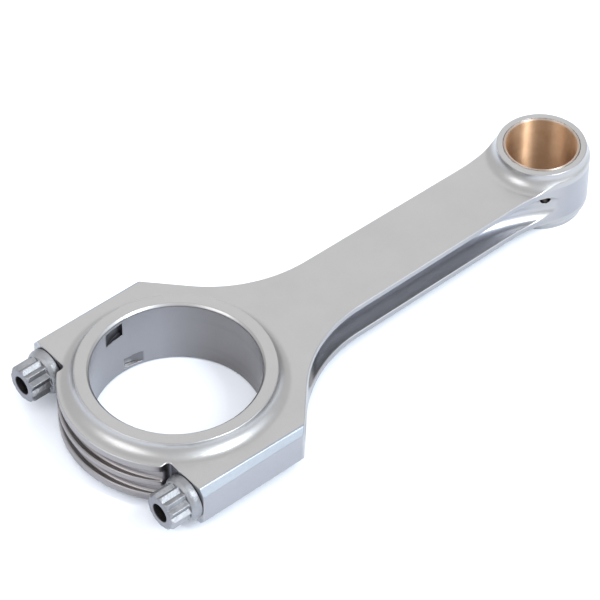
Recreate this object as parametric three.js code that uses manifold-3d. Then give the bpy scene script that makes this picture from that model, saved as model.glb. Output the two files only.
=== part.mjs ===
// Connecting rod of the H-beam pattern, forged and machined steel, for a small engine.
// Units are millimetres. The rod lies flat: +X runs from the big end to the small end, +Y runs
// across the two cap bolts and +Z runs along both bores. Every sub-part is built around the
// big-end centre, half way up the bore, and the group is then moved so that the origin is at
// the middle of the footprint, on the surface that the rod lies on.
import * as THREE from "three";
import { mergeVertices } from "three/addons/utils/BufferGeometryUtils.js";
import Module from "manifold-3d";

const wasm = await Module();
wasm.setup();

// Driving dimensions.
const CENTRE_DISTANCE = 138;
const BIG_BORE_R = 24;
const PIN_BORE_R = 10.5;
const END_WIDTH = 22;
const BOLT_SPACING = 61;
const THREAD_R = 9.525 / 2;
const BEAM_THICKNESS = 12.9;
const BEAM_WIDTH = 23.2;

const HALF_WIDTH = END_WIDTH / 2;
const BOLT_Y = BOLT_SPACING / 2;
const OVER = 5; // how far a cutter runs past the material that it cuts

// Big end.
const BIG_LAND_R = BIG_BORE_R + 4.2;
const BORE_CHAMFER = 0.7;
const SHOULDER_Y = BOLT_Y + 7.2;
const SHOULDER_END_X = 14.1;
const FLAT_HALF_HEIGHT = 4.5;
const FLAT_CHAMFER = 2.2;
const SHOULDER_WALL_ANGLE = THREE.MathUtils.degToRad(47);

// The two faces lean together slightly from the cap to the root of the beam.
const FACE_HALF_AT_BEAM = BEAM_THICKNESS / 2;
const FACE_HALF_AT_CAP = FACE_HALF_AT_BEAM + 0.85;
const BEAM_ROOT_X = 28;
const LAND_FILLET_R = HALF_WIDTH - FACE_HALF_AT_BEAM;

// Cap.
const CAP_R = 33.2;
const BOLT_SEAT_X = -21.2;
const POCKET_Y = BOLT_Y - 7.6;
const POCKET_CORNER_R = 1.2;
const SPOTFACE_R = 7.1;
const GROOVE_Z = 2.8;
const GROOVE_R = 1.75;
const GROOVE_FLOOR = 0.4;
const GROOVE_DEPTH = 2.1;
const GROOVE_END_DEPTH = 1;
const GROOVE_END_Y = POCKET_Y + 0.2;

// Beam and small end.
const BEAM_HALF_AT_BIG_END = BEAM_WIDTH / 2 + 0.1;
const BEAM_HALF_AT_SMALL_END = BEAM_WIDTH / 2 - 0.35;
const BEAM_START_X = 57;
const FLARE_START_X = 116;
const BOSS_R = PIN_BORE_R + 4;
const SMALL_LAND_R = PIN_BORE_R + 2.8;
const BUSH_WALL = 0.8;
const FIT_GAP = 0.04;

// Channels down both sides of the beam.
const CHANNEL_HALF_HEIGHT = 4.4;
const CHANNEL_CORNER_R = 3.6;
const WEB_HALF = 3;
const CHANNEL_IN = new THREE.Vector2(28.9, 22.5);
const CHANNEL_OUT = new THREE.Vector2(132.8, 13.3);
const CHANNEL_DEEP_X = [58, 100];
const OIL_HOLE_R = 1.5;
const OIL_HOLE_AT = new THREE.Vector3(129.5, 11.2, 1.8);

// Bolts and dowel sleeves.
const BOLT_LENGTH = 38;
const BOLT_SHANK_R = THREAD_R - 0.45;
const BOLT_THREAD_BODY_R = THREAD_R - 0.3;
const BOLT_FLANGE_R = 6.7;
const BOLT_FLANGE_THICKNESS = 3.1;
const BOLT_FLANGE_CHAMFER = [0.7, 0.9];
const BOLT_HEAD_POINT_R = 5.8;
const BOLT_THREAD_FROM_X = 2;
const BOLT_TIP_CHAMFER = 1;
const BOLT_HEAD_END_X = BOLT_SEAT_X - 9.6;
const BOLT_RECESS_R = 2.8;
const BOLT_RECESS_DEPTH = 3;
const BOLT_HOLE_R = THREAD_R + 0.14;
const THREADED_HOLE_R = THREAD_R;
const SLEEVE_OUTER_R = BOLT_HOLE_R + 0.7;
const SLEEVE_HALF_LENGTH = 4;

// Bearing-shell tang notches, one on each side of the parting line.
const NOTCH_CUTTER_R = 10.9;
const NOTCH_DEPTH = 1.3;
const CAP_NOTCH_Z = [4.5, 9.1];
const ROD_NOTCH_Z = [-9.3, -5.5];

const FINE = 72;
const ROUND = 24;
const SLIVER = 0.01; // edges and slivers finer than this are merged away

// ---- helpers -------------------------------------------------------------------------------

function signedVolume(positions, index) {
  const a = new THREE.Vector3();
  const b = new THREE.Vector3();
  const c = new THREE.Vector3();
  let sum = 0;
  for (let i = 0; i < index.length; i += 3) {
    a.fromArray(positions, 3 * index[i]);
    b.fromArray(positions, 3 * index[i + 1]);
    c.fromArray(positions, 3 * index[i + 2]);
    sum += a.dot(b.cross(c)) / 6;
  }
  return sum;
}

// A closed three.js geometry as a solid that can be cut and joined.
function solid(geometry) {
  const bare = geometry.clone();
  bare.deleteAttribute("normal");
  bare.deleteAttribute("uv");
  const merged = mergeVertices(bare);
  const positions = Float32Array.from(merged.attributes.position.array);
  const triangles = [];
  for (let i = 0; i < merged.index.count; i += 3) {
    const [p, q, r] = [0, 1, 2].map((k) => merged.index.getX(i + k));
    if (p !== q && q !== r && r !== p) triangles.push([p, q, r]);
  }
  const inward = signedVolume(positions, triangles.flat()) < 0;
  const facing = triangles.flatMap(([p, q, r]) => (inward ? [p, r, q] : [p, q, r]));
  const triVerts = Uint32Array.from(facing);
  return new wasm.Manifold(new wasm.Mesh({ numProp: 3, vertProperties: positions, triVerts }));
}

function sum(solids) {
  return solids.reduce((whole, piece) => whole.add(piece));
}

function cut(whole, cutters) {
  return cutters.reduce((rest, cutter) => rest.subtract(cutter), whole);
}

function namedMesh(name, body, material) {
  const result = body.simplify(SLIVER).getMesh();
  const geometry = new THREE.BufferGeometry();
  geometry.setAttribute("position", new THREE.BufferAttribute(Float32Array.from(result.vertProperties), 3));
  geometry.setIndex(new THREE.BufferAttribute(Uint32Array.from(result.triVerts), 1));
  geometry.computeVertexNormals();
  const mesh = new THREE.Mesh(geometry, material);
  mesh.name = name;
  return mesh;
}

const point = (x, y) => new THREE.Vector2(x, y);

// Points along an arc, both ends included.
function arc(cx, cy, r, from, to, steps) {
  return Array.from({ length: steps + 1 }, (_, i) => {
    const angle = from + ((to - from) * i) / steps;
    return point(cx + r * Math.cos(angle), cy + r * Math.sin(angle));
  });
}

// Radius of the arc that leaves a line level and reaches (run, rise).
function arcRadius(run, rise) {
  return (run ** 2 + rise ** 2) / (2 * rise);
}

// A plan outline on the +Y side becomes a whole outline, mirrored in the X axis.
function mirrored(points) {
  return [...points, ...points.map((p) => point(p.x, -p.y)).reverse()];
}

// A plan outline extruded along Z.
function plate(points, bottom, top) {
  const geometry = new THREE.ExtrudeGeometry(new THREE.Shape(points), {
    depth: top - bottom,
    bevelEnabled: false,
  });
  return geometry.translate(0, 0, bottom);
}

// A side outline in X and Z, extruded along Y across the whole rod.
function sidePlate(points, halfLength) {
  const geometry = new THREE.ExtrudeGeometry(new THREE.Shape(points), {
    depth: 2 * halfLength,
    bevelEnabled: false,
  });
  return geometry.rotateX(Math.PI / 2).translate(0, halfLength, 0);
}

// An outline in Y and Z, extruded along X.
function bar(points, from, to) {
  const geometry = new THREE.ExtrudeGeometry(new THREE.Shape(points), {
    depth: to - from,
    bevelEnabled: false,
  });
  const turn = new THREE.Matrix4().makeBasis(
    new THREE.Vector3(0, 1, 0),
    new THREE.Vector3(0, 0, 1),
    new THREE.Vector3(1, 0, 0),
  );
  return geometry.applyMatrix4(turn).translate(from, 0, 0);
}

// A profile of radius and height turned about a vertical axis through (x, 0).
function turnedUp(points, x, segments = FINE) {
  return new THREE.LatheGeometry(points, segments).rotateX(Math.PI / 2).translate(x, 0, 0);
}

// A profile of radius and X turned about the bolt axis at y.
function turnedAlong(points, y, segments = ROUND) {
  return new THREE.LatheGeometry(points, segments).rotateZ(-Math.PI / 2).translate(0, y, 0);
}

function rodAlong(r, from, to, y, segments = ROUND) {
  return turnedAlong([point(0, from), point(r, from), point(r, to), point(0, to)], y, segments);
}

// ---- shapes shared by the rod and the cap ---------------------------------------------------

const SMALL_END_X = CENTRE_DISTANCE;
const ROD_MAX_X = SMALL_END_X + BOSS_R;
const CAP_MIN_X = -CAP_R;

// Everything between the two leaning faces.
function betweenFaces() {
  const lower = [
    point(CAP_MIN_X, -FACE_HALF_AT_CAP),
    point(BEAM_ROOT_X, -FACE_HALF_AT_BEAM),
    point(ROD_MAX_X + OVER, -FACE_HALF_AT_BEAM),
  ];
  const upper = lower.map((p) => point(p.x, -p.y)).reverse();
  return solid(sidePlate([...lower, ...upper], SHOULDER_Y + OVER));
}

// A thrust ring: a flat land at both ends, with a hollow fillet down to the faces. Its inside is
// cut away later with the bore.
function thrustRing(x, landR, boreR) {
  const toeR = landR + LAND_FILLET_R;
  const coreR = boreR - OVER;
  const upper = arc(toeR, HALF_WIDTH, LAND_FILLET_R, 1.5 * Math.PI, Math.PI, 7);
  const lower = upper.map((p) => point(p.x, -p.y)).reverse();
  const core = [point(coreR, HALF_WIDTH), point(coreR, -HALF_WIDTH)];
  return solid(turnedUp([...lower, ...upper, ...core, lower[0]], x));
}

// A plan outline as a solid: its body lies between the faces, its rings stand proud of them.
function blank(outline, rings) {
  const body = solid(plate(outline, -HALF_WIDTH, HALF_WIDTH)).intersect(betweenFaces());
  const fence = solid(plate(outline, -HALF_WIDTH - OVER, HALF_WIDTH + OVER));
  return body.add(sum(rings).intersect(fence));
}

// A solid round bar standing on the XY plane's normal, past both ends of the bores.
function uprightBar(x, r) {
  const top = HALF_WIDTH + OVER;
  return solid(turnedUp([point(0, -top), point(r, -top), point(r, top), point(0, top)], x));
}

// The big bore, with a small chamfer at both mouths.
function bigBore() {
  const mouthR = BIG_BORE_R + BORE_CHAMFER + OVER;
  const upper = [
    point(BIG_BORE_R, 0),
    point(BIG_BORE_R, HALF_WIDTH - BORE_CHAMFER),
    point(mouthR, HALF_WIDTH + OVER),
    point(0, HALF_WIDTH + OVER),
  ];
  const lower = upper.map((p) => point(p.x, -p.y)).reverse();
  return solid(turnedUp([...lower, ...upper], 0));
}

// The slanted strips that take the corners off the shoulders, above and below both flats.
function shoulderChamfers() {
  const slope = FLAT_CHAMFER / (FACE_HALF_AT_CAP - FLAT_HALF_HEIGHT);
  const wedge = [
    point(SHOULDER_Y, FLAT_HALF_HEIGHT),
    point(SHOULDER_Y + OVER, FLAT_HALF_HEIGHT),
    point(SHOULDER_Y + OVER, HALF_WIDTH),
    point(SHOULDER_Y - slope * (HALF_WIDTH - FLAT_HALF_HEIGHT), HALF_WIDTH),
  ];
  const corners = [[1, 1], [1, -1], [-1, 1], [-1, -1]];
  return corners.map(([sideY, sideZ]) => {
    const points = wedge.map((p) => point(p.x * sideY, p.y * sideZ));
    return solid(bar(points, BOLT_SEAT_X - OVER, SHOULDER_END_X + OVER));
  });
}

// A disc cutter's run-out beside the parting line, on the +Y side of the bore.
function notch([bottom, top]) {
  const centreY = BIG_BORE_R + NOTCH_DEPTH - NOTCH_CUTTER_R;
  const disc = new THREE.CylinderGeometry(NOTCH_CUTTER_R, NOTCH_CUTTER_R, top - bottom, FINE);
  return solid(disc.rotateX(Math.PI / 2).translate(0, centreY, (top + bottom) / 2));
}

// Both bolts, both sleeves and both channels are mirror pairs about the XZ plane.
const BOTH_SIDES = { left: 1, right: -1 };
const onBothSides = (make) => Object.values(BOTH_SIDES).map(make);

function sleevePocket(side) {
  const reach = SLEEVE_HALF_LENGTH + FIT_GAP;
  return solid(rodAlong(SLEEVE_OUTER_R + FIT_GAP, -reach, reach, side * BOLT_Y));
}

// ---- rod body -------------------------------------------------------------------------------

// Half outline, +Y side: shoulder flat, slanted wall, big fillet, beam edge, flare and boss.
function rodOutline() {
  const slope = Math.tan(SHOULDER_WALL_ANGLE);
  const drop = slope * (BEAM_START_X - SHOULDER_END_X) + BEAM_HALF_AT_BIG_END - SHOULDER_Y;
  const filletR = drop / (1 / Math.cos(SHOULDER_WALL_ANGLE) - 1);
  const filletStart = -0.5 * Math.PI - SHOULDER_WALL_ANGLE;
  const filletY = BEAM_HALF_AT_BIG_END + filletR;
  const fillet = arc(BEAM_START_X, filletY, filletR, filletStart, -0.5 * Math.PI, 12);
  const reach = SMALL_END_X - FLARE_START_X;
  const rise = BOSS_R - BEAM_HALF_AT_SMALL_END;
  const flareR = (reach ** 2 + BEAM_HALF_AT_SMALL_END ** 2 - BOSS_R ** 2) / (2 * rise);
  const flareY = BEAM_HALF_AT_SMALL_END + flareR;
  const touch = Math.atan2(-flareY, reach);
  const flare = arc(FLARE_START_X, flareY, flareR, -0.5 * Math.PI, touch, 4);
  const boss = arc(SMALL_END_X, 0, BOSS_R, Math.PI + touch, 0, 16);
  return mirrored([
    point(0, SHOULDER_Y),
    point(SHOULDER_END_X, SHOULDER_Y),
    ...fillet,
    ...flare,
    ...boss.slice(1),
  ]);
}

// One channel: a round-cornered slot that dives in from the shoulder wall, runs along the web
// and climbs out again beside the boss.
function channel(side) {
  const [inX, outX] = CHANNEL_DEEP_X;
  const divingR = arcRadius(inX - CHANNEL_IN.x, CHANNEL_IN.y - WEB_HALF);
  const climbingR = arcRadius(CHANNEL_OUT.x - outX, CHANNEL_OUT.y - WEB_HALF);
  const divingY = WEB_HALF + divingR;
  const climbingY = WEB_HALF + climbingR;
  const start = Math.atan2(CHANNEL_IN.y + OVER - divingY, CHANNEL_IN.x - inX);
  const end = Math.atan2(CHANNEL_OUT.y + OVER - climbingY, CHANNEL_OUT.x - outX);
  const dive = arc(inX, divingY, divingR, start, -0.5 * Math.PI, 12);
  const climb = arc(outX, climbingY, climbingR, -0.5 * Math.PI, end, 10);
  const outside = [point(climb.at(-1).x, SHOULDER_Y + OVER), point(dive[0].x, SHOULDER_Y + OVER)];
  const outline = [...dive, ...climb, ...outside].map((p) => point(p.x, p.y * side));
  const geometry = new THREE.ExtrudeGeometry(new THREE.Shape(outline), {
    depth: 2 * (CHANNEL_HALF_HEIGHT - CHANNEL_CORNER_R),
    bevelThickness: CHANNEL_CORNER_R,
    bevelSize: CHANNEL_CORNER_R,
    bevelOffset: -CHANNEL_CORNER_R,
    bevelSegments: 4,
  });
  return solid(geometry.translate(0, 0, CHANNEL_CORNER_R - CHANNEL_HALF_HEIGHT));
}

// The small oil hole from a channel's end into the pin bore, aimed at the bore's centre.
function oilHole(side) {
  const mouth = new THREE.Vector3(OIL_HOLE_AT.x, side * OIL_HOLE_AT.y, OIL_HOLE_AT.z);
  const inward = new THREE.Vector3(SMALL_END_X, 0, OIL_HOLE_AT.z).sub(mouth);
  const length = inward.length();
  const drill = new THREE.CylinderGeometry(OIL_HOLE_R, OIL_HOLE_R, length, 12);
  drill.translate(0, length / 2 - OVER / 2, 0);
  const up = new THREE.Vector3(0, 1, 0);
  drill.applyQuaternion(new THREE.Quaternion().setFromUnitVectors(up, inward.normalize()));
  return solid(drill.translate(mouth.x, mouth.y, mouth.z));
}

function rodBody() {
  const rings = [
    thrustRing(0, BIG_LAND_R, BIG_BORE_R),
    thrustRing(SMALL_END_X, SMALL_LAND_R, PIN_BORE_R),
  ];
  const threadEndX = SHOULDER_END_X + 3 * OVER;
  const threadedHole = (side) => solid(rodAlong(THREADED_HOLE_R, 0, threadEndX, side * BOLT_Y));
  return cut(blank(rodOutline(), rings), [
    bigBore(),
    uprightBar(SMALL_END_X, PIN_BORE_R + BUSH_WALL + FIT_GAP),
    ...shoulderChamfers(),
    ...onBothSides(channel),
    ...onBothSides(oilHole),
    ...onBothSides(threadedHole),
    ...onBothSides(sleevePocket),
    notch(ROD_NOTCH_Z),
  ]);
}

// ---- rod cap --------------------------------------------------------------------------------

// Half outline, +Y side: the round back, the square-cut bolt pocket, seat and flat.
function capOutline() {
  const cornerX = BOLT_SEAT_X - POCKET_CORNER_R;
  const cornerY = POCKET_Y + POCKET_CORNER_R;
  const ribEnd = Math.PI - Math.asin(POCKET_Y / CAP_R);
  return mirrored([
    ...arc(0, 0, CAP_R, Math.PI, ribEnd, 14),
    ...arc(cornerX, cornerY, POCKET_CORNER_R, -0.5 * Math.PI, 0, 4),
    point(BOLT_SEAT_X, SHOULDER_Y),
    point(0, SHOULDER_Y),
  ]);
}

// The two grooves in the cap's back: deepest in the middle and open at the bolt pockets.
function backGroove(side) {
  const floorEndR = CAP_R - GROOVE_END_DEPTH;
  const floorEndX = -Math.sqrt(floorEndR ** 2 - POCKET_Y ** 2);
  const deepestX = -CAP_R + GROOVE_DEPTH;
  const r = arcRadius(POCKET_Y, floorEndX - deepestX);
  const spread = Math.asin(GROOVE_END_Y / r);
  const floor = arc(deepestX + r, 0, r, Math.PI - spread, Math.PI + spread, 20);
  const back = -CAP_R - OVER;
  const outline = [...floor, point(back, -GROOVE_END_Y), point(back, GROOVE_END_Y)];
  const bevel = GROOVE_R - GROOVE_FLOOR / 2;
  const geometry = new THREE.ExtrudeGeometry(new THREE.Shape(outline), {
    depth: GROOVE_FLOOR,
    bevelThickness: bevel,
    bevelSize: bevel,
    bevelOffset: -bevel,
    bevelSegments: 3,
  });
  return solid(geometry.translate(0, 0, side * GROOVE_Z - GROOVE_FLOOR / 2));
}

function rodCap() {
  const boltHole = (side) => solid(rodAlong(BOLT_HOLE_R, BOLT_SEAT_X - OVER, OVER, side * BOLT_Y));
  const spotface = (side) => solid(rodAlong(SPOTFACE_R, -CAP_R - OVER, BOLT_SEAT_X, side * BOLT_Y));
  return cut(blank(capOutline(), [thrustRing(0, BIG_LAND_R, BIG_BORE_R)]), [
    bigBore(),
    ...onBothSides(backGroove),
    ...shoulderChamfers(),
    ...onBothSides(spotface),
    ...onBothSides(boltHole),
    ...onBothSides(sleevePocket),
    notch(CAP_NOTCH_Z),
  ]);
}

// ---- bush, bolts and sleeves ------------------------------------------------------------------

function smallEndBush() {
  const outerR = PIN_BORE_R + BUSH_WALL;
  const tube = [
    point(PIN_BORE_R, -HALF_WIDTH),
    point(outerR, -HALF_WIDTH),
    point(outerR, HALF_WIDTH),
    point(PIN_BORE_R, HALF_WIDTH),
    point(PIN_BORE_R, -HALF_WIDTH),
  ];
  return cut(solid(turnedUp(tube, SMALL_END_X)), onBothSides(oilHole));
}

function twelvePointHead(y) {
  const valleyR = BOLT_HEAD_POINT_R * Math.cos(Math.PI / 6) / Math.cos(Math.PI / 12);
  const star = Array.from({ length: 24 }, (_, i) => {
    const r = i % 2 ? valleyR : BOLT_HEAD_POINT_R;
    return point(y + r * Math.cos((i * Math.PI) / 12), r * Math.sin((i * Math.PI) / 12));
  });
  return solid(bar(star, BOLT_HEAD_END_X, BOLT_SEAT_X - BOLT_FLANGE_THICKNESS / 2));
}

function capBolt(y) {
  const flangeX = BOLT_SEAT_X - BOLT_FLANGE_THICKNESS;
  const tipX = BOLT_SEAT_X + BOLT_LENGTH;
  const [chamferR, chamferX] = BOLT_FLANGE_CHAMFER;
  const profile = [
    point(0, flangeX),
    point(BOLT_FLANGE_R - chamferR, flangeX),
    point(BOLT_FLANGE_R, flangeX + chamferX),
    point(BOLT_FLANGE_R, BOLT_SEAT_X - FIT_GAP),
    point(BOLT_SHANK_R, BOLT_SEAT_X - FIT_GAP),
    point(BOLT_SHANK_R, BOLT_THREAD_FROM_X),
    point(BOLT_THREAD_BODY_R, BOLT_THREAD_FROM_X + BOLT_TIP_CHAMFER),
    point(BOLT_THREAD_BODY_R, tipX - BOLT_TIP_CHAMFER),
    point(BOLT_THREAD_BODY_R - BOLT_TIP_CHAMFER, tipX),
    point(0, tipX),
  ];
  const recessEndX = BOLT_HEAD_END_X + BOLT_RECESS_DEPTH;
  const recess = rodAlong(BOLT_RECESS_R, BOLT_HEAD_END_X - OVER, recessEndX, y);
  return solid(turnedAlong(profile, y)).add(twelvePointHead(y)).subtract(solid(recess));
}

function dowelSleeve(y) {
  const tube = [
    point(BOLT_HOLE_R, -SLEEVE_HALF_LENGTH),
    point(SLEEVE_OUTER_R, -SLEEVE_HALF_LENGTH),
    point(SLEEVE_OUTER_R, SLEEVE_HALF_LENGTH),
    point(BOLT_HOLE_R, SLEEVE_HALF_LENGTH),
    point(BOLT_HOLE_R, -SLEEVE_HALF_LENGTH),
  ];
  return solid(turnedAlong(tube, y));
}

// ---- assembly -------------------------------------------------------------------------------

const forgedSteel = new THREE.MeshStandardMaterial({ color: 0xb9b9bc, roughness: 0.38, metalness: 1 });
const boltSteel = new THREE.MeshStandardMaterial({ color: 0xa9a9ae, roughness: 0.28, metalness: 1 });
const sleeveSteel = new THREE.MeshStandardMaterial({ color: 0x9a9a9e, roughness: 0.3, metalness: 1 });
const bronze = new THREE.MeshStandardMaterial({ color: 0xb98a5c, roughness: 0.25, metalness: 1 });

const rod = new THREE.Group();
rod.position.set(-(CAP_MIN_X + ROD_MAX_X) / 2, 0, HALF_WIDTH);
rod.add(namedMesh("rod_body", rodBody(), forgedSteel));
rod.add(namedMesh("rod_cap", rodCap(), forgedSteel));
rod.add(namedMesh("small_end_bush", smallEndBush(), bronze));
for (const [name, side] of Object.entries(BOTH_SIDES)) {
  rod.add(namedMesh(`cap_bolt_${name}`, capBolt(side * BOLT_Y), boltSteel));
  rod.add(namedMesh(`dowel_sleeve_${name}`, dowelSleeve(side * BOLT_Y), sleeveSteel));
}

const connectingRod = new THREE.Group();
connectingRod.add(rod);
export default connectingRod;
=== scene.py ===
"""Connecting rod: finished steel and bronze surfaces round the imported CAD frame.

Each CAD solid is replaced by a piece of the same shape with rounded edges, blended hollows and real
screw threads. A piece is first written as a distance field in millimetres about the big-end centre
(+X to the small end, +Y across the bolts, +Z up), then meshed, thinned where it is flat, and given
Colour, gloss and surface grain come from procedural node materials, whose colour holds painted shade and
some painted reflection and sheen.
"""
import math

import bmesh
import bpy
import numpy as np
from mathutils import Matrix, Vector


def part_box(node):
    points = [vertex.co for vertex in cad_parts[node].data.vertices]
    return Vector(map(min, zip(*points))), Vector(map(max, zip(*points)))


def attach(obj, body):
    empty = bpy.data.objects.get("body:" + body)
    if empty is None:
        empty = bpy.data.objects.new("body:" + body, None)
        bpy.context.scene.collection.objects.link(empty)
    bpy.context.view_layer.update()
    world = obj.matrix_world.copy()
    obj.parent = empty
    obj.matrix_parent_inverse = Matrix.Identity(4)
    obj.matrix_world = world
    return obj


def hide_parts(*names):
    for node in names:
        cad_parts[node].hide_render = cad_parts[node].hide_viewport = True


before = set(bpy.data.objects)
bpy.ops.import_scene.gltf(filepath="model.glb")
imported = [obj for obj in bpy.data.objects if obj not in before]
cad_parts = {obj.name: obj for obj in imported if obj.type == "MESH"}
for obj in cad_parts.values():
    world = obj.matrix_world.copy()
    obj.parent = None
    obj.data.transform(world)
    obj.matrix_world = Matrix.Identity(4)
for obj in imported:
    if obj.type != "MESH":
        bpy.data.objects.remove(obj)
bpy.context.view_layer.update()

MM = 0.001

# ---- dimensions, in millimetres; those that the CAD source also has are the same there ---------

BODY_LOW, BODY_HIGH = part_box("rod_body")
BUSH_LOW, BUSH_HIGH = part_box("small_end_bush")
ORIGIN = Vector((BODY_LOW.x, 0, (BODY_LOW.z + BODY_HIGH.z) / 2))
CENTRE_DISTANCE = ((BUSH_LOW.x + BUSH_HIGH.x) / 2 - ORIGIN.x) / MM
HALF_WIDTH = (BODY_HIGH.z - BODY_LOW.z) / 2 / MM

BIG_BORE_R = 24
BIG_LAND_R = 28.2
PIN_BORE_R = 10.5
BUSH_OUTER_R = 11.3
SMALL_LAND_R = 13.3
BOSS_R = 14.5
BORE_CHAMFER = 0.7
SHOULDER_Y = 37.7
SHOULDER_END_X = 14.1
FLAT_HALF_HEIGHT = 4.5
FLAT_CHAMFER = 2.2
WALL_ANGLE = math.radians(47)
FACE_HALF_AT_BEAM = 6.45
FACE_HALF_AT_CAP = 7.3
LAND_FILLET_R = HALF_WIDTH - FACE_HALF_AT_BEAM
BEAM_ROOT_X = 28
CAP_R = 33.2
BOLT_SEAT_X = -21.2
BOLT_Y = 30.5
POCKET_Y = 22.9
POCKET_CORNER_R = 1.2
SPOTFACE_R = 7.1
GROOVE_Z = 2.8
GROOVE_HALF = 1.75
GROOVE_CORNER_R = 0.8
GROOVE_DEPTH = 2.1
GROOVE_END_DEPTH = 1
GROOVE_END_Y = POCKET_Y + 0.2
BEAM_START = (57, 11.7)
FLARE_START = (116, 11.25)
CHANNEL_HALF_HEIGHT = 4.4
CHANNEL_CORNER_R = 3.6
WEB_HALF = 3
CHANNEL_IN = (28.9, 22.5)
CHANNEL_OUT = (132.8, 13.3)
CHANNEL_DEEP_X = (58, 100)
OIL_HOLE_R = 1.5
OIL_HOLE_AT = (129.5, 11.2, 1.8)
NOTCH_CUTTER_R = 10.9
NOTCH_DEPTH = 1.3
CAP_NOTCH_Z = (4.5, 9.1)
ROD_NOTCH_Z = (-9.3, -5.5)

THREAD_R = 9.525 / 2
THREAD_PITCH = 25.4 / 24
THREAD_DEPTH = 0.55
BOLT_TIP_X = 16.8
BOLT_HEAD_END_X = -30.8
BOLT_FLANGE_END_X = -24.3
BOLT_FLANGE_R = 6.7
BOLT_POINT_R = 5.8
BOLT_SHANK_R = THREAD_R - 0.45
BOLT_RECESS_R = 2.8
BOLT_RECESS_DEPTH = 3
BOLT_THREAD_FROM_X = 3
BOLT_HOLE_R = THREAD_R + 0.14
SLEEVE_WALL = 0.7
SLEEVE_OUTER_R = BOLT_HOLE_R + SLEEVE_WALL
SLEEVE_HALF = 4
SEAT_GAP = 0.04
THREAD_CLEARANCE = 0.02

# ---- rounded edges and hollows of the rod, cap and bush, in millimetres ------------------------

OUTLINE_CORNER_R = 0.8
FACE_EDGE_R = 0.35
CHAMFER_EDGE_R = 0.3
THRUST_EDGE_R = 0.3
BORE_EDGE_R = 0.02
MOUTH_EDGE_R = 0.12
CHANNEL_EDGE_R = 0.4
TIGHT_SEAT_R = 0.04
OIL_HOLE_EDGE_R = 0.2
BOLT_HOLE_EDGE_R = 0.3
SHALLOW_CUT_R = 0.12
NOTCH_EDGE_R = 0.08
CAP_HOLLOW_R = 1.5
RIB_END_R = 0.3
GROOVE_EDGE_R = 0.6
BUSH_CHAMFER = 0.25
BUSH_MOUTH_R = 0.1

# ---- details of the bolts and sleeves, in millimetres ------------------------------------------

POINTS = 12
POINT_TRIM = 0.12
POINT_R = 0.15
HEAD_BEVEL = 0.9
HEAD_EDGE_R = 0.25
ROOT_OVERLAP = 1
FLANGE_RIM = 0.75
FLANGE_SLOPE = 0.62
FLANGE_SLOPE_R = 0.3
FLANGE_RIM_R = 0.2
FLANGE_SEAT_R = 0.15
HEAD_ROOT_R = 0.35
RECESS_FLOOR_R = 0.4
SHANK_SHY = 0.5
SHANK_ROOT_R = 0.5
CREST_FLAT = 0.12
CREST_SHY = 0.07
THREAD_STEEPNESS = 0.7
TIP_BEVEL = 0.9
TIP_EDGE_R = 0.1
THREAD_EDGE_R = 0.05
THREAD_RUN_OUT = 0.2
SLEEVE_END_R = 0.35
SLEEVE_BORE_R = 0.2


# ---- distance fields ---------------------------------------------------------------------------


def both(a, b, r=0.0):
    """Where two shapes overlap, with the edge between them rounded by r."""
    u = np.maximum(a + r, 0)
    v = np.maximum(b + r, 0)
    return np.minimum(np.maximum(a, b), -r) + np.sqrt(u * u + v * v)


def either(a, b, r=0.0):
    """Two shapes joined, with a hollow fillet of radius r between them."""
    return -both(-a, -b, r)


def without(a, b, r=0.0):
    """The first shape with the second cut out of it."""
    return both(a, -b, r)


def from_axis(x, y, cx, cy):
    return np.sqrt((x - cx) ** 2 + (y - cy) ** 2)


def arc_radius(run, rise):
    """Radius of the arc that leaves a line level and reaches (run, rise)."""
    return (run * run + rise * rise) / (2 * rise)


def beam_edge(x, ay):
    """Plan distance to the slanted wall, its big fillet, the beam's edge, the flare and the boss."""
    bx, by = BEAM_START
    fx, fy = FLARE_START
    nx, ny = math.sin(WALL_ANGLE), math.cos(WALL_ANGLE)
    drop = math.tan(WALL_ANGLE) * (bx - SHOULDER_END_X) + by - SHOULDER_Y
    fillet_r = drop / (1 / ny - 1)
    fillet_y = by + fillet_r
    wall = (x - SHOULDER_END_X) * nx + (ay - SHOULDER_Y) * ny
    fillet = fillet_r - from_axis(x, ay, bx, fillet_y)
    edge = ay - by - (fy - by) * (x - bx) / (fx - bx)
    reach = CENTRE_DISTANCE - fx
    flare_r = (reach**2 + fy**2 - BOSS_R**2) / (2 * (BOSS_R - fy))
    flare_y = fy + flare_r
    flare = flare_r - from_axis(x, ay, fx, flare_y)
    boss = from_axis(x, ay, CENTRE_DISTANCE, 0) - BOSS_R
    on_wall = (x - bx) * ny - (ay - fillet_y) * nx < 0
    on_boss = reach * (ay - flare_y) + flare_y * (x - fx) >= 0
    root = np.where(on_wall, wall, fillet)
    end = np.where(on_boss, boss, flare)
    return np.where(x < bx, root, np.where(x < fx, edge, end))


def faces(x, y, z):
    """Between the two leaning faces, with both thrust rings blended on to them."""
    lean = (FACE_HALF_AT_BEAM - FACE_HALF_AT_CAP) / (BEAM_ROOT_X + CAP_R)
    half = FACE_HALF_AT_BEAM + lean * np.minimum(x - BEAM_ROOT_X, 0)
    slab = np.abs(z) - half
    lands = np.abs(z) - HALF_WIDTH
    for cx, land_r in ((0, BIG_LAND_R), (CENTRE_DISTANCE, SMALL_LAND_R)):
        ring = both(from_axis(x, y, cx, 0) - land_r, lands, THRUST_EDGE_R)
        slab = either(slab, ring, LAND_FILLET_R)
    return slab


def shoulder_chamfer(ay, z):
    depth = FACE_HALF_AT_CAP - FLAT_HALF_HEIGHT
    length = math.hypot(depth, FLAT_CHAMFER)
    return ((ay - SHOULDER_Y) * depth + (np.abs(z) - FLAT_HALF_HEIGHT) * FLAT_CHAMFER) / length


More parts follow.
